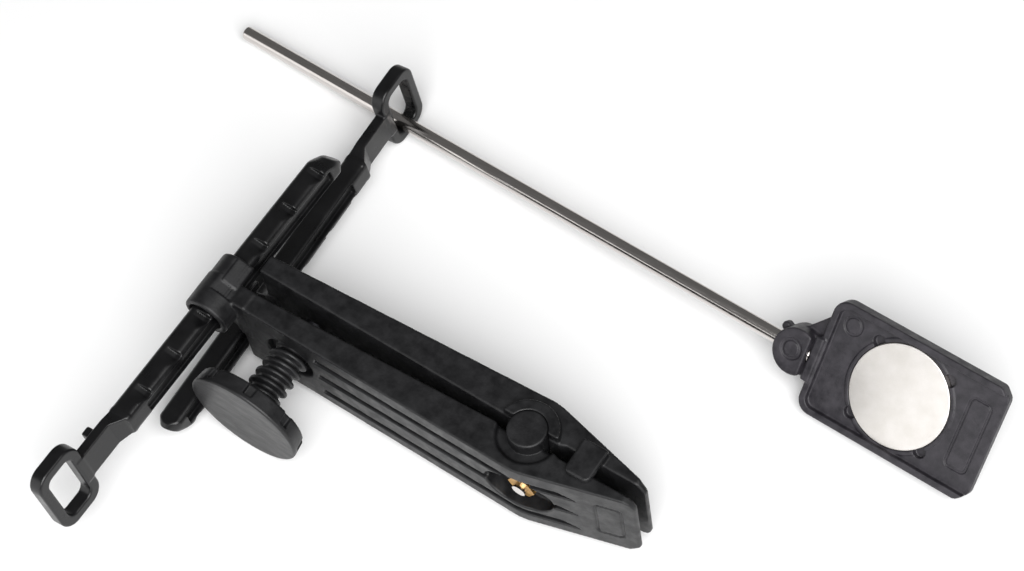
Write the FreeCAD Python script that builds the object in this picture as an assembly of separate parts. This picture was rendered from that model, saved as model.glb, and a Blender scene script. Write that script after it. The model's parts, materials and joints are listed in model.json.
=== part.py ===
import FreeCAD, Part
import math
import os

# Magnetic knife sharpening guide: a two-jaw blade clamp, two notched angle arms with a
# loop at one end, and a magnetic stone holder on a steel guide rod.
#
# The clamp frame: X runs from the arms to the nose, Y from the near jaw to the far jaw
# and Z up from the jaws' lower edges, with the jaws' pivot axis at X = Y = 0.
# The two jaws are the same moulding, and so are the two arms: each far one is the near
# one turned half a turn about the line Y = 0, Z = JAW_HEIGHT / 2.
# The tool rests on the knob, the far loop and the holder, so the clamp leans: the last
# step turns every piece by LEAN about X and lifts it by LIFT, to stand on Z = 0.

os.makedirs("parts", exist_ok=True)

# Clamp jaws
JAW_HEIGHT = 22.2
JAW_REAR = -67.6
JAW_TIP = 26.0
BEND_X = 1.9
HALF_THICKNESS = 8.5
OUTER_SLOPE = 0.029
TIP_HALF_THICKNESS = 2.5
INNER_GAP = 0.83
INNER_SLOPE = 0.023
NOSE_GAP = 1.4
NOSE_START = 8.0
TIP_RADIUS = 2.6

# Pivot post, its C-shaped socket and the locating tab
POST_RADIUS = 4.06
POST_FIT = 0.06
POST_DEPTH = 5.0
POST_RISE = 1.9
SOCKET_RADIUS = 6.5
SOCKET_MOUTH = 1.2
DISH_RADIUS = 5.9
DISH_DEPTH = 1.4
TAB_X = 10.6
TAB_LENGTH = 5.6
TAB_REACH = 3.6
TAB_ROOT = 4.2
TAB_GAP = 0.4

# Grooves and pocket on the outer faces
GROOVE_FLOORS = (3.2, 9.8, 16.2)
GROOVE_WIDTH = 1.9
GROOVE_DEPTH = 1.1
GROOVE_START = -47.5
GROOVE_SHOULDER = 10.2
GROOVE_POINT = 14.1
POCKET_X = 1.5
POCKET_LENGTH = 15.2
POCKET_HEIGHT = 9.8
POCKET_FLOOR = 4.4

# Arms, and the collars that hold them
ARM_X = -71.5
ARM_OFFSET = 8.1
ARM_WIDTH = 5.4
ARM_HEIGHT = 5.8
ARM_ROUND = 3.4
ARM_LENGTH = 88.2
BAR_START = 17.0
NECK_START = 14.6
NECK_THICKNESS = 2.4
NECK_HEIGHT = 7.0
NECK_FRONT = 0.35
LOOP_WIDTH = 11.6
LOOP_HEIGHT = 18.2
LOOP_RIM = 2.4
LOOP_THICKNESS = 3.2
LOOP_OUTER_RADIUS = 3.6
LOOP_INNER_RADIUS = 1.8
NOTCH_COUNT = 7
NOTCH_PITCH = 9.75
NOTCH_FIRST = 24.6
NOTCH_LENGTH = 4.6
NOTCH_DEPTH = 1.2
NOTCH_BACK = -2.1
CHANNEL_HEIGHT = 1.6
CHANNEL_DEPTH = 1.2
TIP_TAPER = 2.4
TIP_SLANT = 1.4
PEG_LENGTH = 1.8
PEG_SIZE = 2.2
PEG_PLACE = 10.9
NEAR_LOOP_Y = -55.4
FAR_LOOP_Y = 58.1
NEAR_ARM_ROLL = 9.1
FAR_ARM_ROLL = 5.0
NEAR_ARM_TOE = 0.6
FAR_ARM_TOE = 1.9
BORE_TOE = 1.25
COLLAR_RADIUS = 4.9
COLLAR_NEAR_END = 11.0
COLLAR_FAR_END = 2.2
COLLAR_LIP = 0.5
COLLAR_SETBACK = 0.6
BORE_CLEARANCE = 0.4
ARCH_X = -70.9
ARCH_Z = 8.5
ARCH_RADIUS = 3.9

# Thumbscrew and its thrust pad
SCREW_X = -54.8
KNOB_RADIUS = 12.75
KNOB_FACE = -23.3
KNOB_THICKNESS = 3.9
KNOB_RIM = 0.6
KNOB_TAPER = 0.5
KNOB_SLOTS = 8
KNOB_SLOT_WIDTH = 2.0
KNOB_SLOT_START = 1.3
KNOB_SLOT_TURN = 32.0
THREAD_RADIUS = 4.2
THREAD_ROOT = 3.1
THREAD_PITCH = 2.35
THREAD_FIT = 0.08
THREAD_FRONT = -0.6
RECESS_RADIUS = 5.7
RECESS_DEPTH = 2.0
PAD_RADIUS = 2.4
PAD_THICKNESS = 1.1
PAD_STEM_RADIUS = 1.2
PAD_STEM_LENGTH = 4.0
PAD_STEM_FIT = 0.05
PAD_CLEARANCE = 0.6

# Tie screw across the pivot, with its nut in the near pocket and its head in the far one
TIE_X = 1.5
TIE_RADIUS = 1.5
TIE_HOLE = 2.4
TIE_HEAD_RADIUS = 2.9
TIE_HEAD_HEIGHT = 1.8
TIE_SLOT = 0.8
TIE_END = 1.0
WASHER_RADIUS = 3.9
WASHER_THICKNESS = 0.8
NUT_WIDTH = 5.5
NUT_THICKNESS = 2.2
FAR_TIE_GAP = 0.9

# Guide rod and stone holder
ROD_RADIUS = 1.5875
ROD_LENGTH = 152.4
ROD_IN_HOLDER = 7.0
ROD_FIT = 0.05
ROD_AT_LOOP = (-73.4, 57.1, -1.8)
HOLDER_ENTRY = (26.56, 50.86, 3.7)
HOLDER_ROLL = 46.5
PLATE_OFFSET = 1.6
PLATE_START = 8.0
PLATE_END = 48.0
PLATE_HALF_WIDTH = 12.9
PLATE_THICKNESS = 3.4
PLATE_CORNER = 3.0
PLATE_CHAMFER = 2.0
RIM_WIDTH = 1.5
RIM_HEIGHT = 1.3
MAGNET_CENTRE = 27.2
MAGNET_RADIUS = 10.95
MAGNET_THICKNESS = 2.0
MAGNET_PROUD = 0.25
RELIEF_RADIUS = 1.1
KNUCKLE_RADIUS = 5.0
KNUCKLE_CENTRE = 4.2
KNUCKLE_HALF_THICKNESS = 3.0
GRIP_LENGTH = 24.0
GRIP_HEIGHT = 5.0
GRIP_THICKNESS = 2.4

MIDDLE = JAW_HEIGHT / 2
NEAR_ARM_Z = MIDDLE + ARM_OFFSET
FAR_ARM_Z = MIDDLE - ARM_OFFSET
COLLAR_MIDDLE = (COLLAR_FAR_END - COLLAR_NEAR_END) / 2

# The floor touches the far loop's lower corner and the knob's rim
FAR_ROLL = math.radians(FAR_ARM_ROLL)
LOOP_BACK = LOOP_THICKNESS - NECK_FRONT
LOOP_FOOT = (FAR_LOOP_Y - LOOP_WIDTH / 2 + LOOP_OUTER_RADIUS,
             FAR_ARM_Z - LOOP_HEIGHT / 2 * math.cos(FAR_ROLL) - LOOP_BACK * math.sin(FAR_ROLL))
KNOB_FOOT = (KNOB_FACE + KNOB_RIM, MIDDLE - KNOB_RADIUS)
LEAN = math.atan2(KNOB_FOOT[1] - LOOP_FOOT[1], LOOP_FOOT[0] - KNOB_FOOT[0])
LIFT = -LOOP_FOOT[0] * math.sin(LEAN) - LOOP_FOOT[1] * math.cos(LEAN)


def vec(x, y, z):
    return FreeCAD.Vector(x, y, z)


X_AXIS = vec(1, 0, 0)
Y_AXIS = vec(0, 1, 0)
Z_AXIS = vec(0, 0, 1)


def box(x_range, y_range, z_range):
    size = [high - low for low, high in (x_range, y_range, z_range)]
    return Part.makeBox(*size, vec(x_range[0], y_range[0], z_range[0]))


def cylinder_y(radius, y_start, y_end, x, z):
    return Part.makeCylinder(radius, y_end - y_start, vec(x, y_start, z), Y_AXIS)


def cylinder_z(radius, z_start, z_end, x=0.0, y=0.0):
    return Part.makeCylinder(radius, z_end - z_start, vec(x, y, z_start), Z_AXIS)


def prism(points, direction):
    wire = Part.makePolygon([vec(*point) for point in points + points[:1]])
    return Part.Face(wire).extrude(direction)


def rounded_rectangle(width, height, radius, thickness):
    """A slab across X, centred on the origin, with its four long corners rounded."""
    slab = box((-thickness / 2, thickness / 2), (-width / 2, width / 2), (-height / 2, height / 2))
    corners = [edge for edge in slab.Edges if abs(edge.tangentAt(edge.FirstParameter).x) > 0.9]
    return slab.makeFillet(radius, corners)


def other_side(shape):
    """The same moulding turned over for the far side of the clamp."""
    turned = shape.copy()
    turned.rotate(vec(0, 0, MIDDLE), X_AXIS, 180)
    return turned


def outer_y(x):
    return HALF_THICKNESS + OUTER_SLOPE * x


def inner_y(x):
    return INNER_GAP - INNER_SLOPE * x


# Clamp jaws, built on the near side, where the body lies at Y < 0

def jaw_plan():
    outline = [
        (JAW_REAR, -outer_y(JAW_REAR), 0),
        (BEND_X, -outer_y(BEND_X), 0),
        (JAW_TIP, -TIP_HALF_THICKNESS, 0),
        (JAW_TIP, -NOSE_GAP, 0),
        (NOSE_START, -NOSE_GAP, 0),
        (NOSE_START - 1.5, -INNER_GAP, 0),
        (0, -INNER_GAP, 0),
        (JAW_REAR, -inner_y(JAW_REAR), 0),
    ]
    return prism(outline, vec(0, 0, JAW_HEIGHT))


def nose_side_profile():
    """The side view of a jaw, with the tip's upper and lower corners rounded."""
    block = box((JAW_REAR - 1, JAW_TIP), (-20, 20), (0, JAW_HEIGHT))
    tips = [edge for edge in block.Edges
            if abs(edge.CenterOfMass.x - JAW_TIP) < 0.01
            and abs(edge.tangentAt(edge.FirstParameter).y) > 0.9]
    return block.makeFillet(TIP_RADIUS, tips)


def collar():
    """The sleeve for the arm at the jaw's rear, with a lip, a squared side and a web."""
    sleeve = cylinder_y(COLLAR_RADIUS, -COLLAR_NEAR_END, COLLAR_FAR_END, ARM_X, NEAR_ARM_Z)
    lip = cylinder_y(COLLAR_RADIUS + COLLAR_LIP, -COLLAR_NEAR_END + 0.6, -COLLAR_NEAR_END + 2.0,
                     ARM_X, NEAR_ARM_Z)
    web = box((ARM_X, JAW_REAR + 1), (-outer_y(JAW_REAR), -inner_y(JAW_REAR)),
              (MIDDLE, JAW_HEIGHT))
    side = box((ARM_X, JAW_REAR - COLLAR_SETBACK), (-inner_y(JAW_REAR), COLLAR_FAR_END),
               (NEAR_ARM_Z - COLLAR_RADIUS, JAW_HEIGHT))
    keep = box((-100, JAW_REAR + 1), (-20, -inner_y(JAW_REAR)), (0, 40))
    behind = box((-100, JAW_REAR - COLLAR_SETBACK), (-20, 20), (0, 40))
    return sleeve.fuse(lip).common(keep.fuse(behind)).fuse([web, side]).cut(arch())


def arch():
    """The arched opening under the collar, which the other arm passes through."""
    crown = cylinder_y(ARCH_RADIUS, -20, 20, ARCH_X, ARCH_Z)
    legs = box((ARCH_X - ARCH_RADIUS, ARCH_X + ARCH_RADIUS), (-20, 20), (-5, ARCH_Z))
    return crown.fuse(legs)


def groove(floor):
    """One lengthwise groove, whose front end runs to a point at its lower edge."""
    top = floor + GROOVE_WIDTH
    outline = [(GROOVE_START, -20, floor), (GROOVE_POINT, -20, floor), (GROOVE_SHOULDER, -20, top),
               (GROOVE_START, -20, top)]
    floor_plan = [(GROOVE_START, -20, 0), (GROOVE_POINT, -20, 0)]
    floor_plan += [(x, nose_face_y(x) + GROOVE_DEPTH, 0) for x in (GROOVE_POINT, BEND_X)]
    floor_plan.append((GROOVE_START, -outer_y(GROOVE_START) + GROOVE_DEPTH, 0))
    return prism(outline, vec(0, 20, 0)).common(prism(floor_plan, vec(0, 0, JAW_HEIGHT)))


def nose_face_y(x):
    """The sloping outer face ahead of the bend."""
    share = (x - BEND_X) / (JAW_TIP - BEND_X)
    return -outer_y(BEND_X) + share * (outer_y(BEND_X) - TIP_HALF_THICKNESS)


def pocket():
    """The stadium pocket over the tie screw."""
    half = POCKET_HEIGHT / 2
    reach = POCKET_LENGTH / 2 - half
    ends = [cylinder_y(half, -20, -POCKET_FLOOR, POCKET_X + side * reach, MIDDLE)
            for side in (-1, 1)]
    middle = box((POCKET_X - reach, POCKET_X + reach), (-20, -POCKET_FLOOR),
                 (MIDDLE - half, MIDDLE + half))
    return middle.fuse(ends)


def post():
    return cylinder_z(POST_RADIUS, JAW_HEIGHT - POST_DEPTH, JAW_HEIGHT + POST_RISE)


def dish():
    """The shallow dish round the post in the near jaw's upper edge."""
    ring = cylinder_z(DISH_RADIUS, JAW_HEIGHT - DISH_DEPTH, JAW_HEIGHT + 1)
    return ring.cut(cylinder_z(POST_RADIUS, 0, JAW_HEIGHT + 2))


def socket_wall():
    """The raised C that wraps the other jaw's post, on this jaw's lower edge."""
    wall = cylinder_z(SOCKET_RADIUS, -POST_RISE, 1.0)
    mouth = box((-20, 20), (-SOCKET_MOUTH, 20), (-5, 5))
    return wall.cut(mouth)


def socket_bore():
    return cylinder_z(POST_RADIUS + POST_FIT, -POST_RISE - 1, POST_DEPTH + 0.3)


def tab():
    """The locating tab, which reaches across under the other jaw's lower edge."""
    x_range = (TAB_X, TAB_X + TAB_LENGTH)
    low = -POST_RISE
    shelf = box(x_range, (-TAB_ROOT, TAB_REACH), (low, -TAB_GAP))
    root = box(x_range, (-TAB_ROOT, -NOSE_GAP), (low, 2.0))
    corners = [edge for edge in shelf.Edges
               if abs(edge.tangentAt(edge.FirstParameter).z) > 0.9 and edge.CenterOfMass.y > 0]
    return shelf.makeFillet(1.2, corners).fuse(root)


def jaw_moulding():
    """Everything that the two jaws share."""
    body = jaw_plan().common(nose_side_profile()).fuse([collar(), socket_wall(), tab()])
    body = body.cut(Part.makeCompound([groove(floor) for floor in GROOVE_FLOORS]))
    body = body.cut(pocket()).cut(socket_bore()).cut(dish()).fuse(post())
    bore = cylinder_y(ARM_ROUND + BORE_CLEARANCE, -30, 30, ARM_X, NEAR_ARM_Z)
    bore.rotate(vec(ARM_X, COLLAR_MIDDLE, 0), Z_AXIS, -BORE_TOE)
    return body.cut(bore).removeSplitter()


def near_jaw():
    """The jaw with the thumbscrew's threaded hole."""
    face = -outer_y(SCREW_X)
    recess = cylinder_y(RECESS_RADIUS, face - 1, face + RECESS_DEPTH, SCREW_X, MIDDLE)
    hole = cylinder_y(THREAD_RADIUS + THREAD_FIT, -20, 0, SCREW_X, MIDDLE)
    tie_hole = cylinder_y(TIE_RADIUS + THREAD_FIT, -20, 0, TIE_X, MIDDLE)
    return jaw_moulding().cut(recess).cut(hole).cut(tie_hole)


def far_jaw():
    """The jaw that the thumbscrew pushes, loose on the tie screw so that it can rock."""
    tie_hole = cylinder_y(TIE_HOLE, 0, 20, TIE_X, MIDDLE)
    return other_side(jaw_moulding()).cut(tie_hole)


# Thumbscrew

def knob():
    """The disc with a shallow dished face and narrow grip slots that open at its back."""
    back = KNOB_FACE + KNOB_THICKNESS
    outline = [(0, KNOB_FACE + 0.5, 0), (KNOB_RADIUS - 1.4, KNOB_FACE, 0),
               (KNOB_RADIUS, KNOB_FACE + KNOB_RIM, 0), (KNOB_RADIUS - KNOB_TAPER, back - 0.6, 0),
               (KNOB_RADIUS - KNOB_TAPER - 0.6, back, 0), (0, back, 0)]
    wire = Part.makePolygon([vec(*point) for point in outline + outline[:1]])
    disc = Part.Face(wire).revolve(vec(0, 0, 0), Y_AXIS, 360)
    slots = []
    for number in range(KNOB_SLOTS):
        slot = box((KNOB_RADIUS - 1.4, KNOB_RADIUS + 1), (KNOB_FACE + KNOB_SLOT_START, back + 1),
                   (-KNOB_SLOT_WIDTH / 2, KNOB_SLOT_WIDTH / 2))
        slot.rotate(vec(0, 0, 0), Y_AXIS, -KNOB_SLOT_TURN - number * 360 / KNOB_SLOTS)
        slots.append(slot)
    return disc.cut(Part.makeCompound(slots))


def shank():
    """The coarse round thread, drawn as even ridges that stay inside the hole's fit."""
    start = KNOB_FACE + KNOB_THICKNESS - 0.5
    turns = int((THREAD_FRONT - start) / THREAD_PITCH)
    outline = [(0, start, 0), (THREAD_ROOT, start, 0)]
    for turn in range(turns):
        base = start + 0.6 + turn * THREAD_PITCH
        outline += [(THREAD_ROOT, base, 0), (THREAD_RADIUS, base + 0.35 * THREAD_PITCH, 0),
                    (THREAD_RADIUS, base + 0.5 * THREAD_PITCH, 0),
                    (THREAD_ROOT, base + 0.85 * THREAD_PITCH, 0)]
    outline += [(THREAD_ROOT, THREAD_FRONT, 0), (0, THREAD_FRONT, 0)]
    wire = Part.makePolygon([vec(*point) for point in outline + outline[:1]])
    return Part.Face(wire).revolve(vec(0, 0, 0), Y_AXIS, 360)


def pad_stem(radius, extra):
    return cylinder_y(radius, THREAD_FRONT - PAD_STEM_LENGTH - extra, THREAD_FRONT, 0, 0)


def thumbscrew():
    screw = knob().fuse(shank()).cut(pad_stem(PAD_STEM_RADIUS + PAD_STEM_FIT, 0.3))
    screw.translate(vec(SCREW_X, 0, MIDDLE))
    return screw


def thrust_pad():
    """The steel pad that stays still on the far jaw while the screw turns behind it."""
    start = inner_y(SCREW_X) - PAD_CLEARANCE - PAD_THICKNESS
    disc = cylinder_y(PAD_RADIUS, start, start + PAD_THICKNESS, 0, 0)
    neck = cylinder_y(PAD_STEM_RADIUS, THREAD_FRONT, start, 0, 0)
    pad = disc.fuse([neck, pad_stem(PAD_STEM_RADIUS, 0)]).removeSplitter()
    pad.translate(vec(SCREW_X, 0, MIDDLE))
    return pad


# Tie screw, washer and nut across the pivot. The far jaw has room to rock under the washer.

def tie_screw():
    head_start = POCKET_FLOOR + FAR_TIE_GAP + WASHER_THICKNESS
    head = cylinder_y(TIE_HEAD_RADIUS, head_start, head_start + TIE_HEAD_HEIGHT, TIE_X, MIDDLE)
    stem = cylinder_y(TIE_RADIUS, -POCKET_FLOOR - NUT_THICKNESS - TIE_END, head_start, TIE_X, MIDDLE)
    slot = box((TIE_X - TIE_SLOT / 2, TIE_X + TIE_SLOT / 2),
               (head_start + TIE_HEAD_HEIGHT - 0.9, head_start + TIE_HEAD_HEIGHT + 1),
               (MIDDLE - 5, MIDDLE + 5))
    return head.fuse(stem).cut(slot).removeSplitter()


def tie_washer():
    start = POCKET_FLOOR + FAR_TIE_GAP
    washer = cylinder_y(WASHER_RADIUS, start, start + WASHER_THICKNESS, TIE_X, MIDDLE)
    return washer.cut(cylinder_y(TIE_RADIUS, -20, 20, TIE_X, MIDDLE))


def tie_nut():
    """The hexagon nut on the near pocket's floor."""
    across_corners = NUT_WIDTH / math.cos(math.radians(30))
    points = []
    for corner in range(6):
        angle = math.radians(60 * corner)
        points.append((TIE_X + across_corners / 2 * math.cos(angle), -POCKET_FLOOR,
                       MIDDLE + across_corners / 2 * math.sin(angle)))
    nut = prism(points, vec(0, -NUT_THICKNESS, 0))
    return nut.cut(cylinder_y(TIE_RADIUS, -20, 20, TIE_X, MIDDLE))


# Angle arms. The arm frame has its axis along +Y, with the loop's centre at the origin.

def arm_bar():
    """The bar: a round one with flats, coned at its tip and cut off on a slant."""
    round_bar = cylinder_y(ARM_ROUND, BAR_START, ARM_LENGTH, 0, 0)
    flats = box((-ARM_WIDTH / 2, ARM_WIDTH / 2), (0, ARM_LENGTH), (-ARM_HEIGHT / 2, ARM_HEIGHT / 2))
    tip = Part.makeCone(ARM_ROUND + 1.0, ARM_ROUND - 1.6, TIP_TAPER + 1.0,
                        vec(0, ARM_LENGTH - TIP_TAPER - 1.0, 0), Y_AXIS)
    body = cylinder_y(ARM_ROUND + 1, BAR_START, ARM_LENGTH - TIP_TAPER - 1.0, 0, 0)
    side = [(-5, 0, -5), (-5, ARM_LENGTH + TIP_SLANT, -5), (-5, ARM_LENGTH - TIP_SLANT, 5), (-5, 0, 5)]
    return round_bar.common(flats).common(body.fuse(tip)).common(prism(side, vec(10, 0, 0)))


def arm_notch(number):
    """One sawtooth detent, which deepens towards the bar's upper front edge."""
    wall = NOTCH_FIRST + number * NOTCH_PITCH
    side = [(NOTCH_BACK, wall, -NOTCH_DEPTH), (NOTCH_BACK, wall, 2),
            (NOTCH_BACK, wall - NOTCH_LENGTH, 2), (NOTCH_BACK, wall - NOTCH_LENGTH, 0)]
    scoop = prism(side, vec(8, 0, 0))
    tilt = math.degrees(math.atan2(NOTCH_DEPTH, ARM_WIDTH / 2 - NOTCH_BACK))
    scoop.translate(vec(0, 0, NOTCH_DEPTH))
    scoop.rotate(vec(NOTCH_BACK, 0, 0), Y_AXIS, tilt)
    scoop.translate(vec(0, 0, ARM_HEIGHT / 2))
    return scoop


def arm_channel():
    """The lengthwise channel along the bar's front face."""
    front = ARM_WIDTH / 2
    return box((front - CHANNEL_DEPTH, front + 1), (BAR_START + 6, ARM_LENGTH - TIP_TAPER),
               (-ARM_HEIGHT / 2 + 0.7, -ARM_HEIGHT / 2 + 0.7 + CHANNEL_HEIGHT))


def neck():
    """The flat neck, which widens into the bar."""
    back = NECK_FRONT - NECK_THICKNESS
    half = NECK_HEIGHT / 2
    flat = box((back, NECK_FRONT), (LOOP_WIDTH / 2 - 1, NECK_START), (-half, half))
    root = Part.makeLoft([neck_section(NECK_START, back, NECK_FRONT, half),
                          neck_section(BAR_START + 0.5, -ARM_WIDTH / 2 + 0.6, ARM_WIDTH / 2 - 0.6,
                                       ARM_HEIGHT / 2 - 0.4)], True, True)
    peg = box((back - PEG_LENGTH, back + 0.3), (PEG_PLACE - PEG_SIZE / 2, PEG_PLACE + PEG_SIZE / 2),
              (half - 2.4, half - 0.4))
    return flat.fuse([root, peg])


def neck_section(y, x_low, x_high, half):
    corners = [vec(x_low, y, -half), vec(x_high, y, -half), vec(x_high, y, half),
               vec(x_low, y, half)]
    return Part.makePolygon(corners + corners[:1])


def loop():
    """The rounded square eye that the guide rod slides through."""
    outer = rounded_rectangle(LOOP_WIDTH, LOOP_HEIGHT, LOOP_OUTER_RADIUS, LOOP_THICKNESS)
    inner = rounded_rectangle(LOOP_WIDTH - 2 * LOOP_RIM, LOOP_HEIGHT - 2 * LOOP_RIM,
                              LOOP_INNER_RADIUS, LOOP_THICKNESS * 3)
    ring = outer.cut(inner)
    ring.translate(vec(NECK_FRONT - LOOP_THICKNESS / 2, 0, 0))
    return ring


def arm():
    body = arm_bar().cut(Part.makeCompound([arm_notch(number) for number in range(NOTCH_COUNT)]))
    return body.cut(arm_channel()).fuse([neck(), loop()]).removeSplitter()


def near_arm():
    piece = arm()
    piece.rotate(vec(0, 0, 0), Y_AXIS, -NEAR_ARM_ROLL)
    piece.translate(vec(ARM_X, NEAR_LOOP_Y, NEAR_ARM_Z))
    piece.rotate(vec(ARM_X, COLLAR_MIDDLE, 0), Z_AXIS, -NEAR_ARM_TOE)
    return piece


def far_arm():
    piece = arm()
    piece.rotate(vec(0, 0, 0), X_AXIS, 180)
    piece.rotate(vec(0, 0, 0), Y_AXIS, -FAR_ARM_ROLL)
    piece.translate(vec(ARM_X, FAR_LOOP_Y, FAR_ARM_Z))
    piece.rotate(vec(ARM_X, -COLLAR_MIDDLE, 0), Z_AXIS, FAR_ARM_TOE)
    return piece


# Guide rod and stone holder. The holder frame has U along the rod from the point where
# the rod enters, V across the plate and N out of the stone's side of the plate.

def holder_frame():
    """The placement that carries U, V, N onto the clamp frame."""
    entry = vec(*HOLDER_ENTRY)
    along = (entry - vec(*ROD_AT_LOOP)).normalize()
    level = Z_AXIS.cross(along).normalize()
    rise = along.cross(level)
    roll = math.radians(HOLDER_ROLL)
    across = level * math.cos(roll) + rise * math.sin(roll)
    normal = along.cross(across)
    turn = FreeCAD.Rotation(along, across, normal, "XYZ")
    return FreeCAD.Placement(entry, turn)


def guide_rod():
    rod = Part.makeCylinder(ROD_RADIUS, ROD_LENGTH, vec(ROD_IN_HOLDER - ROD_LENGTH, 0, 0), X_AXIS)
    ends = [edge for edge in rod.Edges if edge.Curve.TypeId == "Part::GeomCircle"]
    return rod.makeChamfer(0.35, ends)


def plate():
    """The stone's tray: a rim on the rear and the two long sides, open at the front."""
    front, back, half = PLATE_END, PLATE_START, PLATE_HALF_WIDTH
    outline = [(back, -half, 0), (front - PLATE_CHAMFER, -half, 0), (front, PLATE_CHAMFER - half, 0),
               (front, half - PLATE_CHAMFER, 0), (front - PLATE_CHAMFER, half, 0), (back, half, 0)]
    slab = prism(outline, vec(0, 0, PLATE_THICKNESS))
    corners = [edge for edge in slab.Edges
               if abs(edge.tangentAt(edge.FirstParameter).z) > 0.9
               and abs(edge.CenterOfMass.x - back) < 0.01]
    slab = slab.makeFillet(PLATE_CORNER, corners)
    floor = PLATE_THICKNESS - RIM_HEIGHT
    tray = box((back + RIM_WIDTH, front + 5), (-half + RIM_WIDTH, half - RIM_WIDTH),
               (floor, PLATE_THICKNESS + 1))
    slab = slab.cut(tray)
    slab.translate(vec(0, 0, -PLATE_THICKNESS + RIM_HEIGHT))
    return slab


def knuckle():
    """The half-round lug that grips the rod, with a gusset into the plate."""
    lug = Part.makeCylinder(KNUCKLE_RADIUS, 2 * KNUCKLE_HALF_THICKNESS,
                            vec(KNUCKLE_CENTRE, 0, -KNUCKLE_HALF_THICKNESS), Z_AXIS)
    bridge = box((KNUCKLE_CENTRE, PLATE_START + 1.2), (-KNUCKLE_RADIUS, KNUCKLE_RADIUS),
                 (-KNUCKLE_HALF_THICKNESS, 1.0))
    button = Part.makeCylinder(1.0, 1.2, vec(1.0, 2.6, 0), vec(-0.9, 0.4, 0))
    gusset = prism([(KNUCKLE_CENTRE, KNUCKLE_RADIUS - 1, -2.0), (PLATE_START + 1, 11.0, -2.0),
                    (PLATE_START + 1, 3.0, -2.0)], vec(0, 0, 1.8))
    return lug.fuse([bridge, button, gusset])


def grip():
    """The thin finger grip on the back of the plate."""
    start = MAGNET_CENTRE - GRIP_LENGTH / 2
    floor_back = RIM_HEIGHT - PLATE_THICKNESS
    fin = box((start, start + GRIP_LENGTH), (-GRIP_THICKNESS / 2, GRIP_THICKNESS / 2),
              (floor_back - GRIP_HEIGHT, floor_back))
    ends = [edge for edge in fin.Edges
            if abs(edge.tangentAt(edge.FirstParameter).y) > 0.9
            and edge.CenterOfMass.z < floor_back - 1]
    return fin.makeFillet(3.5, ends)


def stone_holder():
    """The tray, set off to one side of the rod, with its knuckle on the rod's end."""
    seat = Part.makeCylinder(MAGNET_RADIUS, 20, vec(MAGNET_CENTRE, 0, MAGNET_PROUD - MAGNET_THICKNESS),
                             Z_AXIS)
    tray = plate().fuse(grip()).cut(seat)
    for side in range(4):
        angle = math.radians(45 + 90 * side)
        place = vec(MAGNET_CENTRE + MAGNET_RADIUS * math.cos(angle), MAGNET_RADIUS * math.sin(angle), -0.9)
        tray = tray.cut(Part.makeCylinder(RELIEF_RADIUS, 5, place, Z_AXIS))
    tray.translate(vec(0, PLATE_OFFSET, 0))
    bore = Part.makeCylinder(ROD_RADIUS + ROD_FIT, ROD_IN_HOLDER + 5.4, vec(-5, 0, 0), X_AXIS)
    return tray.fuse(knuckle()).cut(bore).removeSplitter()


def magnet_disc():
    disc = Part.makeCylinder(MAGNET_RADIUS, MAGNET_THICKNESS,
                             vec(MAGNET_CENTRE, PLATE_OFFSET, MAGNET_PROUD - MAGNET_THICKNESS), Z_AXIS)
    top = [edge for edge in disc.Edges if edge.CenterOfMass.z > 0]
    return disc.makeChamfer(0.2, top)


# Every node, in the clamp frame

def in_holder_frame(shape):
    placed = shape.copy()
    placed.Placement = holder_frame().multiply(placed.Placement)
    return placed


NODES = {
    "near_jaw": near_jaw(),
    "far_jaw": far_jaw(),
    "thumbscrew": thumbscrew(),
    "thrust_pad": thrust_pad(),
    "tie_screw": tie_screw(),
    "tie_washer": tie_washer(),
    "tie_nut": tie_nut(),
    "near_arm": near_arm(),
    "far_arm": far_arm(),
    "guide_rod": in_holder_frame(guide_rod()),
    "stone_holder": in_holder_frame(stone_holder()),
    "magnet_disc": in_holder_frame(magnet_disc()),
}

STANCE = FreeCAD.Placement(vec(0, 0, LIFT), FreeCAD.Rotation(X_AXIS, math.degrees(LEAN)))

for name, shape in NODES.items():
    shape.Placement = STANCE.multiply(shape.Placement)
    size = shape.BoundBox
    print(name, "valid", shape.isValid(), "solids", len(shape.Solids),
          "volume", round(shape.Volume, 1), "lowest", round(size.ZMin, 2))
    shape.exportStep("parts/" + name + ".step")
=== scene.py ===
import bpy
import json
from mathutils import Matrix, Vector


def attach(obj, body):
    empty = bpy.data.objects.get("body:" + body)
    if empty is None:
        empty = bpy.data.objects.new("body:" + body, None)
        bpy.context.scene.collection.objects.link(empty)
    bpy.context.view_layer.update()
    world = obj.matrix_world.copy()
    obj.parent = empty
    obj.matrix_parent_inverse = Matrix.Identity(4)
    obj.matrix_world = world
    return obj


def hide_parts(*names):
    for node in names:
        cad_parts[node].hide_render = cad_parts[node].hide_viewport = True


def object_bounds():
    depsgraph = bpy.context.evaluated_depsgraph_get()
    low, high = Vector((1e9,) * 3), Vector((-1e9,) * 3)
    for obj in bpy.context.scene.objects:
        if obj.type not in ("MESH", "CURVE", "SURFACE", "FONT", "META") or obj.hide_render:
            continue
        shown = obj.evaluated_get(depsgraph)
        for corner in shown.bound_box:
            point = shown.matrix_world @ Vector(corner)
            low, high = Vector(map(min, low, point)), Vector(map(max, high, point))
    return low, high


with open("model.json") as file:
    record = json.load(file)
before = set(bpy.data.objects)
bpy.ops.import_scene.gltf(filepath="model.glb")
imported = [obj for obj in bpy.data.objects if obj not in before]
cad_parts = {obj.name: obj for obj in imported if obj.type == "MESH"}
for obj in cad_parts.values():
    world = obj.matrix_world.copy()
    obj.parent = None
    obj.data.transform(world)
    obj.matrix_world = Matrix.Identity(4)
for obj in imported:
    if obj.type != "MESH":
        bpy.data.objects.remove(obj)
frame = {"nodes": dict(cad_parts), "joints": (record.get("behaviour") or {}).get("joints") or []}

import copy
import json
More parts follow.
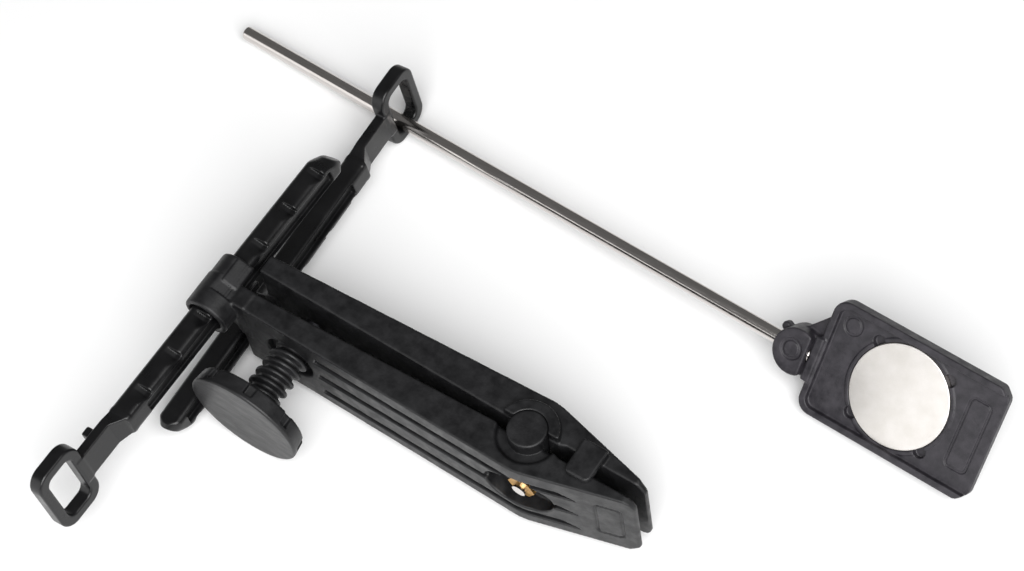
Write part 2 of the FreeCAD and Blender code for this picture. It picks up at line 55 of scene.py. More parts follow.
import math

import bpy
import numpy as np
from mathutils import Matrix, Vector

# Magnetic knife sharpening guide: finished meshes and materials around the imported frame.
#
# Each moulding is a solid field: a function that gives the distance to its surface at every
# point of a grid, negative inside. Fields are combined with round edges and fillets, as in a
# mould, and skin() turns each one into a mesh. Lengths are in millimetres until then.
# The clamp frame has X from the arms to the nose, Y from the near jaw to the far jaw and Z up
# from the jaws' lower edges, with the jaws' pivot axis at X = Y = 0.

CAD_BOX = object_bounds()
MM = 0.001


def joint(name):
    return next(item for item in frame["joints"] if item["name"] == name)


# The stance: how the frame carries the clamp frame
PIVOT = joint("jaw_pivot")
LEAN = math.atan2(-PIVOT["axis"][1], PIVOT["axis"][2])
LIFT = PIVOT["pos_m"][2]
STANCE = Matrix.Translation((0, 0, LIFT)) @ Matrix.Rotation(LEAN, 4, "X") @ Matrix.Scale(MM, 4)

# Clamp jaws
JAW_HEIGHT = 22.2
MIDDLE = JAW_HEIGHT / 2
JAW_REAR = -67.6
JAW_TIP = 26.0
BEND_X = 1.9
OUTER_Y = 8.5
OUTER_SLOPE = 0.029
TIP_Y = 2.5
TIP_ROUND = 3.2
INNER_Y = 0.83
INNER_SLOPE = 0.023
NOSE_Y = 1.4
POST_RADIUS = 4.06
POST_RISE = 1.9
SOCKET_RADIUS = 6.5
DISH_RADIUS = 5.9
DISH_DEPTH = 1.4
TAB_X = (10.6, 16.2)
TAB_REACH = 3.6
TAB_ROOT = 4.2
GROOVES = ((16.2, 18.1), (9.8, 11.7), (3.2, 5.1))
GROOVE_X = (-47.5, 10.2, 14.1)
GROOVE_DEPTH = 1.1
POCKET_X = (-6.1, 9.1)
POCKET_RADIUS = 4.9
POCKET_FLOOR = 4.4

# Arms and collars
ARM_X = -71.5
ARM_Z = MIDDLE + 8.1
ARM_SIZE = (5.4, 5.8)
ARM_ROUND = 3.4
ARM_LENGTH = 88.2
BAR_START = 17.0
COLLAR_RADIUS = 4.9
COLLAR_Y = (-11.0, 2.2)
COLLAR_MIDDLE = -4.4
ARCH = (-70.9, 8.5, 3.9)
BORE_RADIUS = ARM_ROUND + 0.4
BORE_TOE = math.radians(1.25)
NOTCH_FIRST = 24.6
NOTCH_PITCH = 9.75
NOTCHES = 7
NOTCH_LENGTH = 4.6
NOTCH_DEPTH = 1.2
NEAR_LOOP_Y = -55.4
FAR_LOOP_Y = 58.1
NEAR_ARM_ROLL = math.radians(9.1)
FAR_ARM_ROLL = math.radians(5.0)
NEAR_ARM_TOE = math.radians(0.6)
FAR_ARM_TOE = math.radians(1.9)
LOOP_SIZE = (11.6, 18.2)
LOOP_RIM = 2.4
LOOP_THICKNESS = 3.2
LOOP_X = 0.35
LOOP_HOLE_ROUND = 1.8
NECK_THICKNESS = 2.4
NECK_HALF_HEIGHT = 3.5
PEG_LENGTH = 1.8
PEG_Y = (9.8, 12.0)
PEG_Z = (1.1, 3.1)

# Thumbscrew and pad
SCREW_X = -54.8
KNOB_RADIUS = 12.75
KNOB_Y = (-23.3, -19.4)
KNOB_SLOTS = 8
KNOB_SLOT_HALF = 1.0
KNOB_SLOT_DEPTH = 1.4
KNOB_SLOT_START = 1.3
KNOB_SLOT_TURN = math.radians(32.0)
THREAD_RADII = (3.1, 4.2)
THREAD_PITCH = 2.35
THREAD_FRONT = -0.6

# Guide rod and holder
ROD_RADIUS = 1.5875
ROD_LENGTH = 152.4
ROD_IN_HOLDER = 7.0
HOLDER_ROLL = math.radians(46.5)
PLATE_U = (8.0, 48.0)
PLATE_V = 1.6
PLATE_HALF = 12.9
PLATE_N = (-2.1, 1.3)
RIM = 1.5
MAGNET_U = 27.2
MAGNET_RADIUS = 10.95
MAGNET_FACE = 0.25
MAGNET_THICKNESS = 2.0


# Fields on a grid

class Grid:
    """Evenly spaced points between two corners."""

    def __init__(self, low, high, cell):
        self.low = np.array(low, float)
        self.cell = cell
        counts = np.ceil((np.array(high) - self.low) / cell).astype(int) + 1
        lines = [self.low[i] + cell * np.arange(counts[i]) for i in range(3)]
        self.x, self.y, self.z = np.meshgrid(*[line.astype(np.float32) for line in lines],
                                             indexing="ij", sparse=True)

    def moved(self, x, y, z):
        """The same points, measured from another origin."""
        other = copy.copy(self)
        other.x, other.y, other.z = self.x - x, self.y - y, self.z - z
        return other


def both(a, b, radius=0.0):
    """Where both fields are solid, with the edge between them rounded."""
    if radius == 0:
        return np.maximum(a, b)
    return (np.minimum(np.maximum(a + radius, b + radius), 0)
            + np.hypot(np.maximum(a + radius, 0), np.maximum(b + radius, 0)) - radius)


def either(a, b, radius=0.0):
    """Where either field is solid, with a fillet between them."""
    return -both(-a, -b, radius)


def without(a, b, radius=0.0):
    """The first field with the second one cut away, its new edges rounded."""
    return both(a, -b, radius)


def between(c, low, high):
    return np.abs(c - (low + high) / 2) - (high - low) / 2


def block(grid, x, y, z, radius=0.3):
    """A box with all its edges rounded."""
    return both(both(between(grid.x, *x), between(grid.y, *y), radius), between(grid.z, *z), radius)


def disc(a, b, centre, radius):
    return np.hypot(a - centre[0], b - centre[1]) - radius


def rounded_plate(a, b, centre, size, radius):
    """A rectangle with round corners."""
    da = np.abs(a - centre[0]) - size[0] / 2 + radius
    db = np.abs(b - centre[1]) - size[1] / 2 + radius
    outside = np.hypot(np.maximum(da, 0), np.maximum(db, 0))
    return outside + np.minimum(np.maximum(da, db), 0) - radius


def outline(a, b, points):
    """The signed distance to a closed polygon in the plane of a and b."""
    nearest = None
    inside = np.zeros(np.broadcast(a, b).shape, bool)
    for (ax, ay), (bx, by) in zip(points, points[1:] + points[:1]):
        ex, ey = bx - ax, by - ay
        along = np.clip(((a - ax) * ex + (b - ay) * ey) / (ex * ex + ey * ey), 0, 1)
        gap = np.hypot(a - ax - along * ex, b - ay - along * ey)
        nearest = gap if nearest is None else np.minimum(nearest, gap)
        if ey:
            crossed = ((b >= ay) != (b >= by)) & (a < ax + (b - ay) * ex / ey)
            inside = inside ^ crossed
    return np.where(inside, -nearest, nearest)


def soft_outline(a, b, points, radius):
    """A convex polygon with its corners rounded."""
    field = None
    area = sum(p[0] * q[1] - q[0] * p[1] for p, q in zip(points, points[1:] + points[:1]))
    turn = 1 if area > 0 else -1
    for (ax, ay), (bx, by) in zip(points, points[1:] + points[:1]):
        length = math.hypot(bx - ax, by - ay)
        side = turn * ((a - ax) * (by - ay) - (b - ay) * (bx - ax)) / length
        field = side if field is None else both(field, side, radius)
    return field


# From a field to a mesh

def surface(grid, field):
    """The field's zero surface, one point to each cell that it passes through."""
    shape = np.array(field.shape)
    field = np.where(field == 0, 1e-6, field)
    solid = field < 0
    corners, points = [], []
    cells = shape - 1
    for axis in range(3):
        low = [slice(None)] * 3
        high = [slice(None)] * 3
        low[axis] = slice(0, -1)
        high[axis] = slice(1, None)
        first, second = field[tuple(low)], field[tuple(high)]
        place = np.argwhere(solid[tuple(low)] != solid[tuple(high)])
        other = [k for k in range(3) if k != axis]
        keep = np.all((place[:, other] > 0) & (place[:, other] < cells[other]), axis=1)
        place = place[keep]
        a = first[tuple(place.T)]
        b = second[tuple(place.T)]
        crossing = place.astype(float)
        crossing[:, axis] += a / (a - b)
        ring = []
        for shift in ((-1, -1), (0, -1), (0, 0), (-1, 0)):
            cell = place.copy()
            cell[:, other[0]] += shift[0]
            cell[:, other[1]] += shift[1]
            ring.append(np.ravel_multi_index(tuple(cell.T), tuple(cells)))
        ring = np.stack(ring, axis=1)
        flip = (a < 0) != (axis == 1)
        ring[~flip] = ring[~flip][:, ::-1]
        corners.append(ring)
        points.append(crossing)
    ring = np.concatenate(corners)
    crossing = np.concatenate(points)
    used, index = np.unique(ring, return_inverse=True)
    index = index.reshape(ring.shape)
    count = np.bincount(index.ravel(), minlength=len(used))
    place = np.stack([np.bincount(index.ravel(), weights=np.repeat(crossing[:, k], 4),
                                  minlength=len(used)) / count for k in range(3)], axis=1)
    cell = np.stack(np.unravel_index(used, tuple(cells)), axis=1)
    slope = gradient(field, cell)
    return grid.low + place * grid.cell, index, slope


def gradient(field, cell):
    """The field's unit slope in the middle of each cell: the surface's normal there."""
    value = {}
    for i in (0, 1):
        for j in (0, 1):
            for k in (0, 1):
                value[i, j, k] = field[cell[:, 0] + i, cell[:, 1] + j, cell[:, 2] + k]
    slope = np.zeros((len(cell), 3))
    for axis in range(3):
        for key, amount in value.items():
            slope[:, axis] += amount if key[axis] else -amount
    length = np.linalg.norm(slope, axis=1, keepdims=True)
    return slope / np.maximum(length, 1e-9)


def skin(name, grid, field, place, body, material, nodes=()):
    """Makes a field's mesh, carried by place from its own frame to the frame's metres."""
    points, faces, normals = surface(grid, field)
    turn = np.array(place)
    points = points @ turn[:3, :3].T + turn[:3, 3]
    normals = normals @ turn[:3, :3].T
    normals /= np.linalg.norm(normals, axis=1, keepdims=True)
    if np.linalg.det(turn[:3, :3]) < 0:
        faces = faces[:, ::-1]
    mesh = bpy.data.meshes.new(name)
    mesh.vertices.add(len(points))
    mesh.vertices.foreach_set("co", points.astype(np.float32).ravel())
    mesh.loops.add(faces.size)
    mesh.loops.foreach_set("vertex_index", faces.astype(np.int32).ravel())
    mesh.polygons.add(len(faces))
    mesh.polygons.foreach_set("loop_start", np.arange(0, faces.size, 4, dtype=np.int32))
    mesh.update(calc_edges=True)
    mesh.validate()
    mesh.polygons.foreach_set("use_smooth", np.ones(len(mesh.polygons), bool))
    mesh.normals_split_custom_set_from_vertices([tuple(normal) for normal in normals])
    return finish_piece(name, mesh, body, material, nodes)


def finish_piece(name, mesh, body, material, nodes=()):
    piece = bpy.data.objects.new(name, mesh)
    bpy.context.scene.collection.objects.link(piece)
    mesh.materials.append(material)
    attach(piece, body)
    if nodes:
        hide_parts(*nodes)
    return piece


# Jaws

def outer_y(x):
    return OUTER_Y + OUTER_SLOPE * x


def jaw_body(grid):
    """The jaw's plan, drawn up to its height, with the tip's corners taken off."""
    corners = [(JAW_REAR, -outer_y(JAW_REAR)), (BEND_X, -outer_y(BEND_X)),
               (JAW_TIP, -TIP_Y), (JAW_TIP, -NOSE_Y + 2), (JAW_REAR, -NOSE_Y + 4)]
    plan = soft_outline(grid.x, grid.y, corners, 0.5)
    nose_wall = grid.y + NOSE_Y - 0.38 * np.maximum(8 - grid.x, 0)
    ahead = np.maximum(grid.y + INNER_Y - INNER_SLOPE * grid.x, nose_wall)
    behind = grid.y + INNER_Y - INNER_SLOPE * np.minimum(grid.x, 0)
    plan = both(plan, np.where(grid.x < 6.5, behind, ahead), 0.3)
    body = both(plan, between(grid.z, 0, JAW_HEIGHT), 0.4)
    centre = (JAW_TIP - TIP_ROUND, JAW_HEIGHT - TIP_ROUND)
    top = disc(grid.x, grid.z, centre, TIP_ROUND)
    corner = np.maximum(centre[0] - grid.x, centre[1] - grid.z)
    body = np.maximum(body, np.where(corner < 0, top, -9))
    chamfer = (grid.x - JAW_TIP - grid.z + 2.0) * math.sqrt(0.5)
    return both(body, chamfer, 0.5)


def groove(grid, low, high):
    """A groove with square walls and an end that runs to a point at its lower edge."""
    start, shoulder, point = GROOVE_X
    corners = [(start, low), (point, low), (shoulder, high), (start + 0.6, high)]
    plan = outline(grid.x, grid.z, corners)
    skin_line = np.maximum(-outer_y(grid.x), nose_y(grid.x))
    return both(plan, grid.y - skin_line - GROOVE_DEPTH, 0.15)


def nose_y(x):
    """The sloping outer face ahead of the bend."""
    share = (x - BEND_X) / (JAW_TIP - BEND_X)
    return -outer_y(BEND_X) + share * (outer_y(BEND_X) - TIP_Y)


def pocket(grid):
    """The stadium pocket over the tie screw."""
    reach = np.clip(grid.x, POCKET_X[0] + POCKET_RADIUS, POCKET_X[1] - POCKET_RADIUS)
    plan = np.hypot(grid.x - reach, grid.z - MIDDLE) - POCKET_RADIUS
    return both(plan, grid.y + POCKET_FLOOR, 0.5)


def collar(grid):
    """The sleeve round the arm, stepped near its outer end and flat over the jaw."""
    along = disc(grid.x, grid.z, (ARM_X, ARM_Z), COLLAR_RADIUS)
    sleeve = both(along, between(grid.y, *COLLAR_Y), 0.5)
    step = both(along - 0.2, between(grid.y, COLLAR_Y[0], COLLAR_Y[0] + 8.6), 0.6)
    facet = (grid.z - ARM_Z - COLLAR_RADIUS + 0.1 + 0.45 * (grid.x - ARM_X + 0.5)) / 1.1
    above = np.maximum(-facet, -grid.y - outer_y(JAW_REAR))
    return without(np.minimum(sleeve, step), above, 0.3)


def jaw_rear(grid):
    """The ear that joins the collar to the jaw, over the arch for the other arm."""
    y = (-outer_y(JAW_REAR), -INNER_Y + INNER_SLOPE * JAW_REAR)
    end = JAW_REAR - 0.6
    ear = block(grid, (ARM_X + 0.8, JAW_REAR + 3), y, (MIDDLE - 1, JAW_HEIGHT), 0.4)
    low = ARM_Z - 4.7
    ramp = [(ARM_X, ARM_Z + 4.9), (end, JAW_HEIGHT + 0.3), (end, low), (ARM_X, low)]
    side = soft_outline(grid.x, grid.z, ramp, 0.4)
    side = both(side, between(grid.y, y[1] - 1.5, COLLAR_Y[1]), 0.4)
    keep = np.minimum(grid.x - end, grid.y - y[1])
    rear = either(ear, np.maximum(collar(grid), keep), 0.5)
    return either(rear, side, 0.3)


def arch(grid):
    """The round-topped opening that the other jaw's arm passes through."""
    x, z, radius = ARCH
    straight = np.maximum(np.abs(grid.x - x) - radius, grid.z - z)
    return np.minimum(disc(grid.x, grid.z, (x, z), radius), straight)


def post(grid):
    column = disc(grid.x, grid.y, (0, 0), POST_RADIUS)
    return both(column, between(grid.z, JAW_HEIGHT - 5, JAW_HEIGHT + POST_RISE), 0.35)


def dish(grid):
    plan = disc(grid.x, grid.y, (0, 0), DISH_RADIUS + 0.4)
    return both(plan, JAW_HEIGHT - DISH_DEPTH - grid.z, 0.6)


def socket_wall(grid):
    wall = both(disc(grid.x, grid.y, (0, 0), SOCKET_RADIUS), between(grid.z, -POST_RISE, 1.5), 0.45)
    return both(wall, grid.y + 1.2, 0.3)


def tab(grid):
    shelf = rounded_plate(grid.x, grid.y, (sum(TAB_X) / 2, (TAB_REACH - TAB_ROOT) / 2),
                          (TAB_X[1] - TAB_X[0], TAB_REACH + TAB_ROOT), 1.2)
    shelf = both(shelf, between(grid.z, -POST_RISE, -0.4), 0.35)
    root = block(grid, TAB_X, (-TAB_ROOT, -NOSE_Y), (-POST_RISE, 2.0), 0.35)
    return np.minimum(shelf, root)


def moulded_jaw(grid):
    """Everything that the two jaws share."""
    body = jaw_body(grid)
    body = without(either(body, jaw_rear(grid), 0.8), arch(grid), 0.4)
    body = either(body, socket_wall(grid), 0.25)
    body = either(body, tab(grid), 0.3)
    for low, high in GROOVES:
        body = without(body, groove(grid, low, high), 0.25)
    body = without(body, pocket(grid), 0.35)
    bore = both(disc(grid.x, grid.y, (0, 0), POST_RADIUS + 0.06), grid.z - 5.3, 0.1)
    body = without(body, bore, 0.2)
    body = without(body, dish(grid), 0.8)
    body = np.minimum(body, post(grid))
    bore_x = grid.x - math.tan(BORE_TOE) * (grid.y - COLLAR_MIDDLE)
    hole = disc(bore_x, grid.z, (ARM_X, ARM_Z), BORE_RADIUS)
    return without(body, hole, 0.35)


def plain_panel(grid):
    """A plain framed panel, drawn as one fine line on the nose's outer face."""
    raised = grid.y - nose_y(grid.x)
    line = np.abs(rounded_plate(grid.x, grid.z, (20.3, 11.2), (5.2, 12.4), 1.0)) - 0.25
    return np.maximum(line, np.abs(raised) - 0.35)


def near_jaw_field(grid, moulding):
    face = -outer_y(SCREW_X)
    recess = both(disc(grid.x, grid.z, (SCREW_X, MIDDLE), 5.7), grid.y - face - 2.0, 0.3)
    hole = disc(grid.x, grid.z, (SCREW_X, MIDDLE), THREAD_RADII[1] + 0.12)
    return without(without(moulding, recess, 0.35), hole, 0.3)


def make_jaws(cell):
    """Both jaws from one field: the far one is turned half a turn about the middle."""
    grid = Grid((-78, -12.6, -2.6), (27.4, 5.4, 25.6), cell)
    moulding = moulded_jaw(grid)
    near = without(near_jaw_field(grid, moulding), plain_panel(grid), 0.1)
    skin("near_jaw_moulding", grid, near, STANCE, "clamp", clamp_plastic(),
         ["near_jaw"])
    over = STANCE @ Matrix.Translation((0, 0, JAW_HEIGHT)) @ Matrix.Rotation(math.pi, 4, "X")
    skin("far_jaw_moulding", grid, moulding, over, "pushed_jaw", clamp_plastic(),
         ["far_jaw"])


# Arms, in their own frame: the axis along +Y, with the loop's centre at the origin

def arm_bar(grid):
    half_x, half_z = ARM_SIZE[0] / 2, ARM_SIZE[1] / 2
    section = both(both(disc(grid.x, grid.z, (0, 0), ARM_ROUND), np.abs(grid.x) - half_x, 0.3),
                   np.abs(grid.z) - half_z, 0.3)
    bar = both(section, between(grid.y, BAR_START, ARM_LENGTH + 2), 0.3)
    end = grid.y - ARM_LENGTH + 0.65 * grid.z
    taper = (end + 2.4 + (np.hypot(grid.x, grid.z) - 2.6) * 1.6) / 2.1
    return both(both(bar, taper - 0.6, 0.25), end / 1.2, 0.25)


def arm_notch(grid, number):
    """One sawtooth detent, which deepens towards the bar's upper front edge."""
    wall = NOTCH_FIRST + number * NOTCH_PITCH
    across = np.clip((grid.x + 2.1) / 3.6, 0, 1)
    along = np.clip((grid.y - wall + NOTCH_LENGTH) / 3.4, 0, 1)
    floor = ARM_SIZE[1] / 2 + 0.5 - (NOTCH_DEPTH + 0.5) * across * along
    return np.maximum(grid.y - wall, floor - grid.z)


def arm_channel(grid):
    front, low = ARM_SIZE[0] / 2, -ARM_SIZE[1] / 2 + 0.7
    return both(both(front - 1.2 - grid.x, between(grid.y, 22.6, ARM_LENGTH - 3.5), 0.2),
                between(grid.z, low, low + 3.3), 0.2)


def arm_neck(grid):
    """The flat neck, which widens and thins into the bar."""
    share = np.clip((grid.y - 14.0) / 3.5, 0, 1)
    half = NECK_HALF_HEIGHT + share * (2.6 - NECK_HALF_HEIGHT)
    back = (LOOP_X - NECK_THICKNESS) * (1 - share) - 2.3 * share
    front = LOOP_X * (1 - share) + 2.3 * share
    flat = both(both(grid.x - front, back - grid.x, 0.3), np.abs(grid.z) - half, 0.35)
    neck = both(flat, between(grid.y, 4.0, 18.0), 0.2)
    peg_x = LOOP_X - NECK_THICKNESS
    peg = block(grid, (peg_x - PEG_LENGTH, peg_x + 0.3), PEG_Y, PEG_Z, 0.35)
    return either(neck, peg, 0.2)


def loop_hole(grid):
    size = [side - 2 * LOOP_RIM for side in LOOP_SIZE]
    return rounded_plate(grid.y, grid.z, (0, 0), size, LOOP_HOLE_ROUND)


def loop(grid):
    outer = rounded_plate(grid.y, grid.z, (0, 0), LOOP_SIZE, 3.6)
    ring = without(outer, loop_hole(grid))
    return both(ring, between(grid.x, LOOP_X - LOOP_THICKNESS, LOOP_X), 0.5)


def arm_place(loop_y, arm_z, middle, toe, turn):
    """Carries the arm frame to the clamp: turned, then toed about its collar's middle."""
    pivot = Matrix.Translation((ARM_X, middle, 0))
    back = Matrix.Translation((-ARM_X, -middle, 0))
    return (STANCE @ pivot @ Matrix.Rotation(toe, 4, "Z") @ back
            @ Matrix.Translation((ARM_X, loop_y, arm_z)) @ turn)


def make_arms(cell):
    """Both arms from one field: the far one is turned over."""
    half = 4.4
    grid = Grid((-half - 0.2, -7.0, -10.2), (half, ARM_LENGTH + 3, 10.2), cell)
    field = arm_bar(grid)
    for number in range(NOTCHES):
        field = without(field, arm_notch(grid, number), 0.2)
    field = without(field, arm_channel(grid), 0.25)
    field = either(field, arm_neck(grid), 0.5)
    field = np.maximum(field, -loop_hole(grid))
    field = either(field, loop(grid), 0.5)
    near = arm_place(NEAR_LOOP_Y, ARM_Z, COLLAR_MIDDLE, -NEAR_ARM_TOE,
                     Matrix.Rotation(-NEAR_ARM_ROLL, 4, "Y"))
    skin("near_arm_moulding", grid, field, near, "near_angle_arm", arm_plastic(),
         ["near_arm"])
    over = Matrix.Rotation(-FAR_ARM_ROLL, 4, "Y") @ Matrix.Rotation(math.pi, 4, "X")
    far = arm_place(FAR_LOOP_Y, JAW_HEIGHT - ARM_Z, -COLLAR_MIDDLE, FAR_ARM_TOE, over)
    skin("far_arm_moulding", grid, field, far, "far_angle_arm", arm_plastic(),
         ["far_arm"])


# Thumbscrew, with its axis along Y

def knob(grid, radius, angle):
    """The knob: a slightly tapered disc with a dished face and slots open at its back."""
    front, back = KNOB_Y
    rim = radius - KNOB_RADIUS + 0.5 * (grid.y - front) / (back - front)
    body = both(rim, between(grid.y, front, back), 0.6)
    pitch = 2 * math.pi / KNOB_SLOTS
    sector = (angle - KNOB_SLOT_TURN + pitch / 2) % pitch - pitch / 2
    inward = KNOB_RADIUS - KNOB_SLOT_DEPTH - radius * np.cos(sector)
    slot = both(np.abs(radius * np.sin(sector)) - KNOB_SLOT_HALF, inward, 0.3)
    slot = both(slot, front + KNOB_SLOT_START - grid.y, 0.2)
    hollow = grid.y - front - 0.4 * np.clip(1 - (radius / 11.2) ** 2, 0, 1)
    return np.maximum(without(body, slot, 0.25), -hollow)


def threaded_shank(grid, radius, angle):
    """A coarse round thread, tapered at its front end."""
    helix = ((grid.y / THREAD_PITCH + angle / (2 * math.pi)) % 1) * 2 * math.pi
    low, high = THREAD_RADII
    ridge = (low + high) / 2 + (high - low) / 2 * np.tanh(1.8 * np.cos(helix)) / math.tanh(1.8)
    end_taper = radius - 3.4 - (THREAD_FRONT - grid.y) * 0.8
    thread = np.maximum(radius - ridge, end_taper) * 0.75
    return both(thread, between(grid.y, KNOB_Y[1] - 1.0, THREAD_FRONT), 0.25)


def make_thumbscrew(cell):
    grid = Grid((-13.4, KNOB_Y[0] - 0.8, -13.4), (13.4, 0.4, 13.4), cell)
    radius = np.hypot(grid.x, grid.z)
    angle = np.arctan2(grid.z, grid.x)
    hub = both(radius - 5.4, between(grid.y, KNOB_Y[1] - 1, KNOB_Y[1] + 0.9), 0.4)
    head = either(knob(grid, radius, angle), hub, 0.6)
    field = either(head, threaded_shank(grid, radius, angle), 0.35)
    field = without(field, np.maximum(radius - 1.25, THREAD_FRONT - 4.3 - grid.y), 0.15)
    place = STANCE @ Matrix.Translation((SCREW_X, 0, MIDDLE))
    skin("thumbscrew_moulding", grid, field, place, "screw_knob", screw_plastic(),
         ["thumbscrew"])


# Stone holder, in the holder frame: U along the rod, V across the plate, N out of its face

def holder_place():
    roll_joint = joint("holder_roll")
    along = Vector(roll_joint["axis"]).normalized()
    up = STANCE.to_3x3() @ Vector((0, 0, 1))
    level = up.cross(along).normalized()
    rise = along.cross(level)
    across = level * math.cos(HOLDER_ROLL) + rise * math.sin(HOLDER_ROLL)
    normal = along.cross(across)
    turn = Matrix((along, across, normal)).transposed().to_4x4()
    return Matrix.Translation(roll_joint["pos_m"]) @ turn @ Matrix.Scale(MM, 4)


def tray(grid):
    """The rimmed tray, open at its front end, on the tray's own middle line."""
    back, front = PLATE_U
    low, high = PLATE_N
    plan = rounded_plate(grid.x, grid.y, ((back + front + 6) / 2, 0),
                         (front + 6 - back, 2 * PLATE_HALF), 3.2)
    corners = [(0, -PLATE_HALF), (front - 2, -PLATE_HALF), (front, -PLATE_HALF + 2),
               (front, PLATE_HALF - 2), (front - 2, PLATE_HALF), (0, PLATE_HALF)]
    end = soft_outline(grid.x, grid.y, corners, 0.5)
    slab = both(np.maximum(plan, end), between(grid.z, low, high), 0.35)
    well = rounded_plate(grid.x, grid.y, ((back + front + 20) / 2 + RIM / 2, 0),
                         (front + 20 - back - RIM, 2 * (PLATE_HALF - RIM)), 1.9)
    return without(slab, both(well, -grid.z, 0.2), 0.2)


def knuckle(grid):
    """The half-round lug on the rod's end, with the wall and gusset behind it."""
    lug = both(disc(grid.x, grid.y, (4.2, 0), 5.0), between(grid.z, -3.0, 3.0), 0.4)
    lug = both(lug, grid.x - 6.6, 0.3)
    ring = np.maximum(np.abs(disc(grid.x, grid.y, (3.4, 0.3), 2.0)) - 0.3, 2.7 - grid.z)
    lug = without(lug, ring, 0.1)
    bridge = block(grid, (4.2, PLATE_U[0] + 1.2), (-4.8, 4.8), (-3.0, 1.0), 0.4)
    wall = block(grid, (7.0, PLATE_U[0] + 0.9), (-5.0, 5.0), (-3.0, 1.9), 0.3)
    web_end = PLATE_U[0] + 1.5
    web = outline(grid.x, grid.y, [(3.0, 4.2), (web_end, 11.4), (web_end, 2.0), (4.0, 2.0)])
    web = both(web, between(grid.z, -2.1, -0.3), 0.35)
    button = both(np.hypot(grid.x + 0.3, grid.y - 3.0) - 1.0, between(grid.z, -1.6, 0.6), 0.5)
    return either(either(either(lug, np.minimum(bridge, wall), 0.3), web, 0.6), button, 0.3)


def finger_grip(grid):
    reach = np.clip(grid.x, MAGNET_U - 8.5, MAGNET_U + 8.5)
    fin = np.hypot(grid.x - reach, np.minimum(grid.z - PLATE_N[0] + 1.5, 0)) - 3.5
    return both(fin, np.maximum(np.abs(grid.y) - 1.2, grid.z + 1.5), 0.4)


def magnet_seat(grid, field):
    """Sinks the magnet's seat, its thin lip and four relief holes into the tray's floor."""
    from_rim = disc(grid.x, grid.y, (MAGNET_U, 0), MAGNET_RADIUS)
    seat = both(from_rim - 0.05, MAGNET_FACE - MAGNET_THICKNESS - grid.z, 0.1)
    field = without(field, seat, 0.2)
    lip = both(np.abs(from_rim - 0.55) - 0.4, np.abs(grid.z) - 0.22, 0.1)
    field = either(field, lip, 0.1)
    for side in range(4):
        angle = math.radians(45 + 90 * side)
        reach = MAGNET_RADIUS + 0.7
        centre = (MAGNET_U + reach * math.cos(angle), reach * math.sin(angle))
        relief = both(disc(grid.x, grid.y, centre, 1.3), -1.3 - grid.z, 0.1)
        field = without(field, relief, 0.15)
    return field


def make_holder(cell):
    grid = Grid((-2.2, -12.3, -8.2), (PLATE_U[1] + 0.9, 15.4, 4.0), cell)
    middle = grid.moved(0, PLATE_V, 0)
    field = magnet_seat(middle, either(tray(middle), finger_grip(middle), 0.7))
    pin_mark = np.abs(disc(middle.x, middle.y, (12.8, 8.4), 1.85)) - 0.25
    panel = np.abs(rounded_plate(middle.x, middle.y, (43.2, 0), (4.6, 15.5), 1.1)) - 0.25
    lines = np.maximum(np.minimum(pin_mark, panel), np.abs(grid.z) - 0.3)
    field = without(field, lines, 0.08)
    field = either(field, knuckle(grid), 0.5)
    rod_hole = np.maximum(np.hypot(grid.y, grid.z) - ROD_RADIUS - 0.06, grid.x - 7.3)
    skin("stone_holder_moulding", grid, without(field, rod_hole, 0.25), holder_place(), "holder",
         tray_plastic(), ["stone_holder"])


# Turned metal parts

def lathe(name, profile, place, body, material, nodes=(), steps=96):
    """Turns a profile of (radius, height) pairs about the Z axis of place."""
    points, faces = [], []
    rings = len(profile)
    for step in range(steps):
        angle = 2 * math.pi * step / steps
        for radius, height in profile:
            point = Vector((radius * math.cos(angle), radius * math.sin(angle), height))
            points.append(place @ point)
    for step in range(steps):
        here, there = step * rings, (step + 1) % steps * rings
        for ring in range(rings - 1):
            faces.append((here + ring, there + ring, there + ring + 1, here + ring + 1))
    faces.append([step * rings for step in reversed(range(steps))])
    faces.append([step * rings + rings - 1 for step in range(steps)])
    mesh = bpy.data.meshes.new(name)
    mesh.from_pydata(points, [], faces)
    mesh.update()
    mesh.polygons.foreach_set("use_smooth", [True] * len(mesh.polygons))
    mesh.set_sharp_from_angle(angle=math.radians(28))
    return finish_piece(name, mesh, body, material, nodes)


def round_edge(radius, height, soft, steps=5):
    """Profile points for a rounded outer edge that ends a cylinder upwards."""
    return [(radius - soft + soft * math.cos(a), height - soft + soft * math.sin(a))
            for a in (math.pi / 2 * step / steps for step in range(steps + 1))]


def make_rod():
    place = holder_place() @ Matrix.Rotation(math.pi / 2, 4, "Y")
    low = ROD_IN_HOLDER - ROD_LENGTH
    bottom = [(radius, 2 * low - height)
              for radius, height in reversed(round_edge(ROD_RADIUS, low, 0.35))]
    profile = bottom + round_edge(ROD_RADIUS, ROD_IN_HOLDER, 0.35)
    lathe("guide_rod_steel", profile, place, "rod", rod_steel(), ["guide_rod"])


def make_magnet():
    place = holder_place() @ Matrix.Translation((MAGNET_U, PLATE_V, 0))
    profile = [(MAGNET_RADIUS, MAGNET_FACE - MAGNET_THICKNESS)]
    profile += round_edge(MAGNET_RADIUS, MAGNET_FACE, 0.2)
    lathe("magnet_plated", profile, place, "holder", magnet_nickel(),
          ["magnet_disc"], steps=160)


# Materials

def new_material(name, color, roughness, **sockets):
    """A node material with its constant values set on the shader itself."""
    material = bpy.data.materials.new(name)
    material.use_nodes = True
    shader = material.node_tree.nodes["Principled BSDF"]
    shader.inputs["Base Color"].default_value = (*color, 1)
    shader.inputs["Roughness"].default_value = roughness
    for socket, value in sockets.items():
        shader.inputs[socket.replace("_", " ")].default_value = value
    return material, material.node_tree, shader


